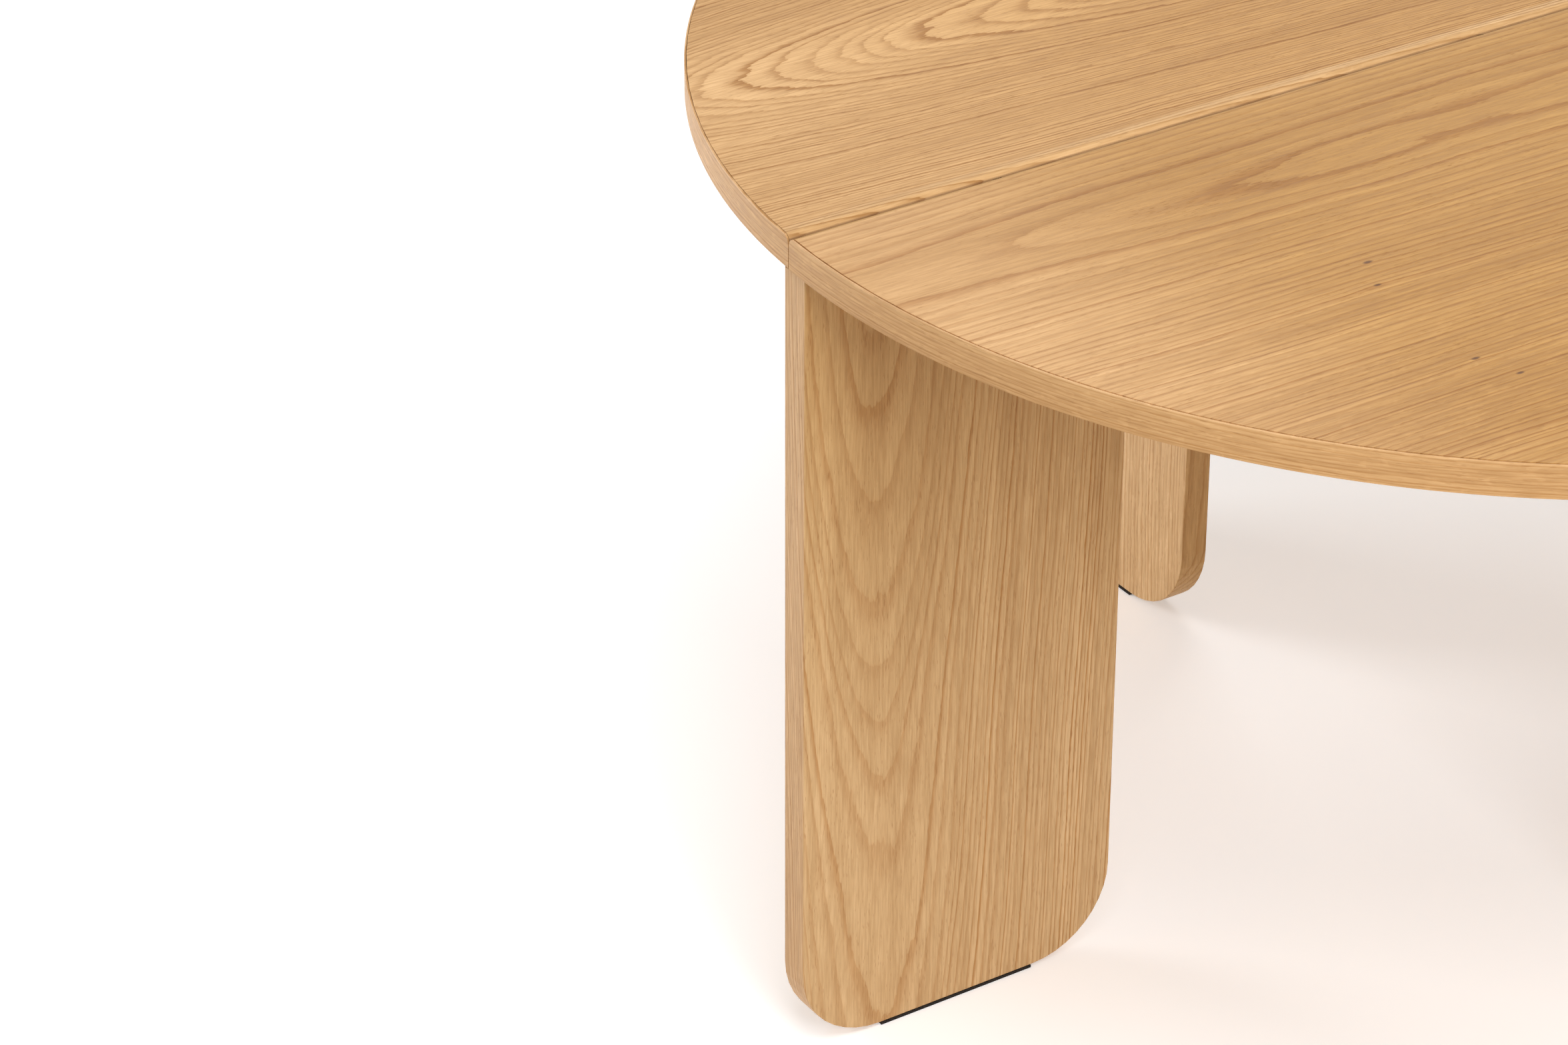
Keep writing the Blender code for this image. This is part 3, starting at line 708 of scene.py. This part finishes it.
left_mid = face_centre("left_leg")
right_mid = face_centre("right_leg")
quiet = {
    "squeeze": 0.9, "Line_Strength": 0.80, "Pore_Strength": 0.55, "Pale": PLANK_PALE,
}
plank_oak = {
    "left_leg": oak_board(
        "left leg oak", "ZXY", (left_mid[0] - 0.083, left_mid[1], PLANK_MID_Z),
        heart=0.170, edge_axis="Y", edge_tone_and_light=PLANK_EDGE,
        Ring_Width=0.0034, Lean=-0.044, Waver=0.017, Jag=0.0024, Seed=1.7,
        Line_Strength=0.90, Pore_Strength=0.60, Arch_Strength=0.62, Heart_Tone=0.09,
        # This end tint is painted shade: the upper end darkens as in the shadow of the top's
        # overhang.
        Pale=PLANK_PALE, Sap_Start=0.38, Sap_End=-0.20, Sap_Tint=(0.76, 0.70, 0.55),
    ),
    "right_leg": oak_board(
        "right leg oak", "ZXY", (right_mid[0] + 0.05, left_mid[1], PLANK_MID_Z),
        heart=0.10, turn=-0.02, edge_axis="Y", edge_tone_and_light=PLANK_EDGE,
        Ring_Width=0.0042, Lean=0.034, Waver=0.035, Seed=5.2, **quiet,
    ),
    "front_leg": oak_board(
        "front leg oak", "ZYX", (0.0, face_centre("front_leg")[1] + 0.04, PLANK_MID_Z),
        heart=0.09, turn=0.03, edge_axis="X", edge_tone_and_light=PLANK_EDGE,
        Ring_Width=0.0044, Lean=-0.036, Waver=0.035, Seed=6.6, **quiet,
    ),
    "gate_leg": oak_board(
        "gate leg oak", "ZYX", (0.0, face_centre("gate_leg")[1] - 0.30, PLANK_MID_Z),
        heart=0.06, turn=0.01, edge_axis="X", edge_tone_and_light=GATE_EDGE_SHADE,
        Ring_Width=0.0046, Lean=-0.020, Waver=0.028, Seed=2.9, **quiet,
    ),
}
for name, mat in plank_oak.items():
    dress(name, mat)
print(len(plank_oak), "planks")

# %% [markdown]
# ## Rails and stop block
# The rails lie on edge with their grain along them, and the stop block under
# the leaf is a small offcut. They are out of sight when the table is open, so
# their figure is plain.

# %% Oak for the rails and the stop block
rail_plain = {"Ring_Width": 0.0044, "Waver": 0.03, "Line_Strength": 0.75}
rail_oak = {
    "back_rail": oak_board(
        "back rail oak", "XZY", (0.0, 0.039, 0.55), heart=0.09,
        Lean=0.02, Seed=4.4, **rail_plain,
    ),
    "front_rail": oak_board(
        "front rail oak", "YZX", (0.0, -0.17, 0.56), heart=0.08,
        Lean=0.03, Seed=7.7, **rail_plain,
    ),
    "gate_rail": oak_board(
        "gate rail oak", "YZX", (0.0, 0.22, 0.55), heart=0.085,
        Lean=-0.03, Seed=9.2, **rail_plain,
    ),
    "gate_stop": oak_board(
        "stop block oak", "YXZ", (0.03, 0.58, 0.70), heart=0.05,
        Ring_Width=0.004, Lean=0.02, Waver=0.01, Seed=2.2,
    ),
}
for name, mat in rail_oak.items():
    dress(name, mat)
print(len(rail_oak), "rails and blocks")

# %% [markdown]
# ## The edge band
# A thin solid band is glued round the rim. It is one strip swept along an
# arc, so Geometry Nodes suit it: the strip's section is a rectangle with its
# two outer corners eased, the path is the rim, and the strip's ends are
# trimmed by a long bar whose corner is rolled like the boards beside it.


# %% Geometry Nodes: helpers
def new_shape(name, numbers):
    """An empty Geometry Nodes tree with number inputs and a finish.

    It gives back the inputs, the output and each input's identifier."""
    tree = bpy.data.node_groups.new(name, "GeometryNodeTree")
    tree.interface.new_socket("Geometry", in_out="INPUT", socket_type="NodeSocketGeometry")
    keys = {}
    for label, default in numbers:
        socket = tree.interface.new_socket(label, in_out="INPUT", socket_type="NodeSocketFloat")
        socket.default_value = default
        keys[label] = socket.identifier
    socket = tree.interface.new_socket("Finish", in_out="INPUT", socket_type="NodeSocketMaterial")
    keys["Finish"] = socket.identifier
    tree.interface.new_socket("Geometry", in_out="OUTPUT", socket_type="NodeSocketGeometry")
    start = tree.nodes.new("NodeGroupInput")
    end = tree.nodes.new("NodeGroupOutput")
    return tree, start.outputs, end.inputs, keys


def end_shape(tree, given, out, geometry):
    """Close a tree as the frame wants it: real faces, with their finish set."""
    real = node(tree, "GeometryNodeRealizeInstances", {0: geometry})
    dressed = node(tree, "GeometryNodeSetMaterial", {
        "Geometry": real.outputs[0], "Material": given["Finish"],
    })
    feed(tree, out[0], dressed.outputs[0])


def rectangle(tree, width, height):
    feeds = {"Width": width, "Height": height}
    made = node(tree, "GeometryNodeCurvePrimitiveQuadrilateral", feeds, mode="RECTANGLE")
    return made.outputs["Curve"]


def round_corners(tree, curve, steps, radius):
    feeds = {"Curve": curve, "Count": steps, "Radius": radius}
    return node(tree, "GeometryNodeFilletCurve", feeds, mode="POLY").outputs[0]


# %% Geometry Nodes: the band's strip
ARC_STEPS = 300
EASE_STEPS = 5
band, given, out, band_keys = new_shape("edge band", [
    ("Rim Radius", 0.675), ("Thickness", 0.0015), ("Under", 0.722), ("Top", 0.750),
    ("Ease", 0.0012), ("Start Angle", 0.0), ("Sweep Angle", 3.0),
    ("Bar Middle", 0.0), ("Bar Width", 1.0), ("Roll", 0.008),
])
tall = minus(band, given["Top"], given["Under"])
half_thick = times(band, given["Thickness"], 0.5)
path = node(band, "GeometryNodeCurveArc", {
    "Resolution": ARC_STEPS, "Radius": minus(band, given["Rim Radius"], half_thick),
    "Start Angle": given["Start Angle"], "Sweep Angle": given["Sweep Angle"],
}, mode="RADIUS")
mid_height = times_plus(band, tall, 0.5, given["Under"])
lifted = node(band, "GeometryNodeSetPosition", {
    "Geometry": path.outputs["Curve"], "Offset": vector(band, 0.0, 0.0, mid_height),
})
upright = node(band, "GeometryNodeSetCurveNormal", {"Curve": lifted.outputs[0]}, mode="Z_UP")
section = rectangle(band, given["Thickness"], tall)
section_x = parts_of(band, node(band, "GeometryNodeInputPosition").outputs[0])[0]
outer = node(
    band, "FunctionNodeCompare", {0: section_x, 1: 0.0},
    data_type="FLOAT", operation="GREATER_THAN",
)
eased = round_corners(band, section, EASE_STEPS, times(band, outer.outputs[0], given["Ease"]))
strip = node(band, "GeometryNodeCurveToMesh", {
    "Curve": upright.outputs[0], "Profile Curve": eased, "Fill Caps": True,
})

# %% Geometry Nodes: the bar that trims the strip's ends
ROLL_STEPS = 10
BAR_LONG = 2.0
BAR_TALLER = 3.0
SEAL = 0.00001
bar_tall = times(band, tall, BAR_TALLER)
bar_face = rectangle(band, given["Bar Width"], bar_tall)
bar_round = round_corners(band, bar_face, ROLL_STEPS, given["Roll"])
bar_fill = node(band, "GeometryNodeFillCurve", {"Curve": bar_round}, mode="NGONS")
bar_long = node(band, "GeometryNodeExtrudeMesh", {
    "Mesh": bar_fill.outputs[0], "Offset": vector(band, 0.0, 0.0, BAR_LONG),
    "Offset Scale": 1.0, "Individual": False,
})
lid = node(band, "GeometryNodeFlipFaces", {0: bar_fill.outputs[0]})
bar_whole = node(band, "GeometryNodeJoinGeometry")
band.links.new(bar_long.outputs[0], bar_whole.inputs[0])
band.links.new(lid.outputs[0], bar_whole.inputs[0])
bar_solid = node(band, "GeometryNodeMergeByDistance", {
    "Geometry": bar_whole.outputs[0], "Distance": SEAL,
})
bar_rise = minus(band, given["Top"], times(band, bar_tall, 0.5))
bar_set = node(band, "GeometryNodeTransform", {
    "Geometry": bar_solid.outputs[0],
    "Translation": vector(band, -BAR_LONG / 2, given["Bar Middle"], bar_rise),
    "Rotation": (math.pi / 2, 0.0, math.pi / 2),
})
trimmed = node(band, "GeometryNodeMeshBoolean", operation="INTERSECT", solver="EXACT")
band.links.new(strip.outputs[0], trimmed.inputs["Mesh 2"])
band.links.new(bar_set.outputs[0], trimmed.inputs["Mesh 2"])
end_shape(band, given, out, trimmed.outputs[0])
print("band tree", len(band.nodes), "nodes")

# %% [markdown]
# ## From a tree to a plain mesh
# The frame wants finished meshes, so each tree runs once and its result is
# kept. Doubles are merged first and the faces pointed outwards, then corners
# sharper than a quarter of a right angle or so are kept crisp.

# %% Growing and tidying a piece
MERGE = 0.000005
SHARP_OVER = 25.0


def grow(name, tree, keys, values):
    """Run a Geometry Nodes tree once and keep its result as a plain mesh."""
    start = bpy.data.meshes.new(name + " start")
    seed = bpy.data.objects.new(name, start)
    scene.collection.objects.link(seed)
    step = seed.modifiers.new("shape", "NODES")
    step.node_group = tree
    for label, value in values.items():
        step[keys[label]] = value
    graph = bpy.context.evaluated_depsgraph_get()
    mesh = bpy.data.meshes.new_from_object(seed.evaluated_get(graph))
    seed.modifiers.clear()
    seed.data = mesh
    mesh.name = name
    bpy.data.meshes.remove(start)
    return seed


def tidy_shading(piece):
    """Merge doubles, point the faces outwards and keep sharp corners sharp."""
    bm = bmesh.new()
    bm.from_mesh(piece.data)
    bmesh.ops.remove_doubles(bm, verts=bm.verts, dist=MERGE)
    bmesh.ops.recalc_face_normals(bm, faces=bm.faces)
    open_edges = sum(1 for edge in bm.edges if len(edge.link_faces) != 2)
    bm.to_mesh(piece.data)
    bm.free()
    faces = piece.data.polygons
    faces.foreach_set("use_smooth", [True] * len(faces))
    piece.data.set_sharp_from_angle(angle=math.radians(SHARP_OVER))
    print(piece.name, len(faces), "faces", open_edges, "open edges")


# %% [markdown]
# ## Oak for the band
# The band's grain runs round the rim, so its material unrolls the rim: the
# angle times the radius is the way along, and the height is the way across.
# Its eased upper corner is a little lighter than the rest, a painted highlight.

# %% Material: band oak
# The band's edge tint is a painted highlight on its eased upper corner.
BAND_LOG = {
    "Ring Width": 0.0032, "Lean": 0.004, "Waver": 0.010, "Line Strength": 0.8,
    "Pore Strength": 0.6, "Pale": (0.590, 0.335, 0.140), "Edge Tint": (1.22, 1.28, 1.42),
}
BAND_HEART_BELOW = 0.13
BAND_HEART_DEPTH = 0.03
CORNER_HIGHLIGHT_FROM, CORNER_HIGHLIGHT_FULL = 2.2 * MM, 0.6 * MM
BAND_DIP = 0.5 * MM


def band_oak(name, way, seed):
    """way is -1 for the part whose rim faces -Y and 1 for the other."""
    mat, tree, shader = shader_of(name)
    place = node(tree, "ShaderNodeTexCoord")
    parts = parts_of(tree, place.outputs["Object"])
    angle = calc(tree, "ARCTAN2", parts[0], times(tree, parts[1], float(way)))
    made = node(tree, "ShaderNodeGroup", {
        "Along": times(tree, angle, RIM_R),
        "Across": minus(tree, parts[2], UNDER - BAND_HEART_BELOW),
        "Depth": BAND_HEART_DEPTH,
        "Edge": rise(tree, parts[2], TABLE_H - CORNER_HIGHLIGHT_FROM, TABLE_H - CORNER_HIGHLIGHT_FULL),
    }, node_tree=oak, label=name)
    set_values(made, {**BAND_LOG, "Seed": seed})
    finish_lacquer(tree, shader, made, BAND_DIP)
    return mat


# %% The two bands
BAND_THICK, BAND_EASE = 1.5 * MM, 1.2 * MM
SEAM_ROLL = 8.0 * MM
SPARE = math.radians(1.5)
for label, body, node_name, way, seed in (
    ("fixed_rim_band", "frame", "fixed_edge_band", -1, 1.3),
    ("leaf_rim_band", "leaf", "leaf_edge_band", 1, 6.1),
):
    low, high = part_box(node_name)
    seam = high[1] if way < 0 else low[1]
    tilt = math.asin(seam / RIM_R)
    bar_width = RIM_R * 2
    piece = grow(label, band, band_keys, {
        "Rim Radius": RIM_R, "Thickness": BAND_THICK, "Under": low[2], "Top": high[2],
        "Ease": BAND_EASE, "Roll": SEAM_ROLL,
        "Start Angle": tilt - way * SPARE,
        "Sweep Angle": way * (math.pi + 2 * SPARE - way * 2 * tilt),
        "Bar Middle": seam + way * bar_width / 2, "Bar Width": bar_width,
        "Finish": band_oak(label + " oak", way, seed),
    })
    tidy_shading(piece)
    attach(piece, body)
    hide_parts(node_name)

# %% [markdown]
# ## Steel
# The fittings are plain: zinc-plated hinges and brackets and turned pins.
# Plating is never quite even, so a slow cloud changes its tone and a fine one
# changes how sharply it shines.


# %% Materials: steel
CLOUD_DARK, CLOUD_LIGHT = 0.86, 1.08
FINER = 9.0
STEEL_DIP, STEEL_DIP_STRENGTH = 0.2 * MM, 0.15
SHINE_RANGE = (0.25, 0.75)
SHARPER, DULLER = 0.07, 0.10


def cloudy_steel(name, colour, rough, scale):
    mat, tree, shader = shader_of(name)
    place = node(tree, "ShaderNodeTexCoord").outputs["Object"]
    cloud = noise(tree, place, scale, 4.0, 0.6)
    fine_cloud = noise(tree, place, scale * FINER, 2.0, 0.5)
    level = spread(tree, cloud[0], CLOUD_DARK, CLOUD_LIGHT)
    grey = vector(tree, level, level, level)
    clouded = blend_colour(tree, 1.0, (*colour, 1.0), grey, "MULTIPLY")
    feed(tree, shader.inputs["Base Color"], clouded)
    shine = rise(tree, fine_cloud[0], *SHINE_RANGE, rough - SHARPER, rough + DULLER)
    feed(tree, shader.inputs["Roughness"], shine)
    add_bump(tree, shader, fine_cloud[0], STEEL_DIP_STRENGTH, STEEL_DIP)
    shader.inputs["Metallic"].default_value = 1.0
    return mat


plated = cloudy_steel("plated steel", (0.55, 0.55, 0.56), 0.40, 90.0)
bright = cloudy_steel("turned steel", (0.62, 0.61, 0.60), 0.30, 160.0)
bracket_steel = cloudy_steel("bracket steel", (0.50, 0.50, 0.50), 0.45, 70.0)
print("three kinds of steel")

# %% [markdown]
# ## Felt and beech
# Dark felt pads under the legs keep the floor from scratches: felt is lint,
# so noise a millimetre wide mixes two near-blacks. The dowels are beech,
# which shows short dark dashes along its grain.

# %% Materials: felt and beech
LINT = 900.0
FELT_DARK, FELT_PALE = (0.010, 0.008, 0.007, 1.0), (0.045, 0.036, 0.030, 1.0)
FELT_DIP, FELT_DIP_STRENGTH = 0.5 * MM, 0.5
FELT_ROUGH = (0.82, 0.98)
DULL_SHEEN = 0.1
DASH_ACROSS, DASH_ALONG = 400.0, 40.0
DASH_RANGE, BEECH_ROUGH = (0.45, 0.70), (0.50, 0.65)
BEECH_PALE, BEECH_DASH = (0.66, 0.45, 0.27, 1.0), (0.50, 0.30, 0.16, 1.0)


def felt():
    mat, tree, shader = shader_of("pad felt")
    place = node(tree, "ShaderNodeTexCoord").outputs["Object"]
    lint = noise(tree, place, LINT, 3.0, 0.7)[0]
    level = spread(tree, lint)
    feed(tree, shader.inputs["Base Color"], blend_colour(tree, level, FELT_DARK, FELT_PALE))
    feed(tree, shader.inputs["Roughness"], spread(tree, lint, *FELT_ROUGH))
    shader.inputs["Specular IOR Level"].default_value = DULL_SHEEN
    add_bump(tree, shader, lint, FELT_DIP_STRENGTH, FELT_DIP)
    return mat


def beech(axis):
    mat, tree, shader = shader_of("beech along " + axis)
    place = node(tree, "ShaderNodeTexCoord").outputs["Object"]
    stretch = [DASH_ACROSS] * 3
    stretch["XYZ".index(axis)] = DASH_ALONG
    scaled = node(tree, "ShaderNodeMapping", {"Vector": place, "Scale": stretch})
    dash = noise(tree, scaled.outputs[0], 1.0, 3.0, 0.6)[0]
    level = rise(tree, dash, *DASH_RANGE)
    feed(tree, shader.inputs["Base Color"], blend_colour(tree, level, BEECH_PALE, BEECH_DASH))
    feed(tree, shader.inputs["Roughness"], spread(tree, dash, *BEECH_ROUGH))
    return mat


pad_felt = felt()
beech_x, beech_y = beech("X"), beech("Y")
print("felt, and beech in two directions")

# %% Dress the fittings
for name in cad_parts:
    if name.endswith("_pad"):
        dress(name, pad_felt)
    elif "bracket" in name:
        dress(name, bracket_steel)
    elif "_pin" in name or "_screw" in name:
        dress(name, bright)
    elif "hinge" in name:
        dress(name, plated)
    elif "dowel" in name:
        dress(name, beech_x if name.startswith(("left", "right")) else beech_y)
bare = [
    name for name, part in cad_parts.items()
    if any(slot.material is None for slot in part.material_slots)
]
print("parts without a finish:", bare)

# %% [markdown]
# ## The floor's finish
# The sweep has the faintest cloud in it. A weak glow lifts its shadows, as
# the light that comes back from white walls all round would.

# %% Floor finish
FLOOR_CLOUD = 0.7
FLOOR_ROUGH = 0.9
FLOOR_GLOW = 0.27
GLOW_COLOUR = (0.90, 0.96, 1.0, 1.0)
FLOOR_DULL, FLOOR_PALE = (0.95, 0.95, 0.95, 1.0), (0.97, 0.97, 0.97, 1.0)
floor_mat, tree, shader = shader_of("pale sweep")
place = node(tree, "ShaderNodeTexCoord").outputs["Object"]
cloud = spread(tree, noise(tree, place, FLOOR_CLOUD)[0])
feed(tree, shader.inputs["Base Color"], blend_colour(tree, cloud, FLOOR_DULL, FLOOR_PALE))
shader.inputs["Roughness"].default_value = FLOOR_ROUGH
shader.inputs["Specular IOR Level"].default_value = DULL_SHEEN
shader.inputs["Emission Color"].default_value = GLOW_COLOUR
shader.inputs["Emission Strength"].default_value = FLOOR_GLOW
floor_mesh.materials.append(floor_mat)
print("floor finish", len(tree.nodes), "nodes")
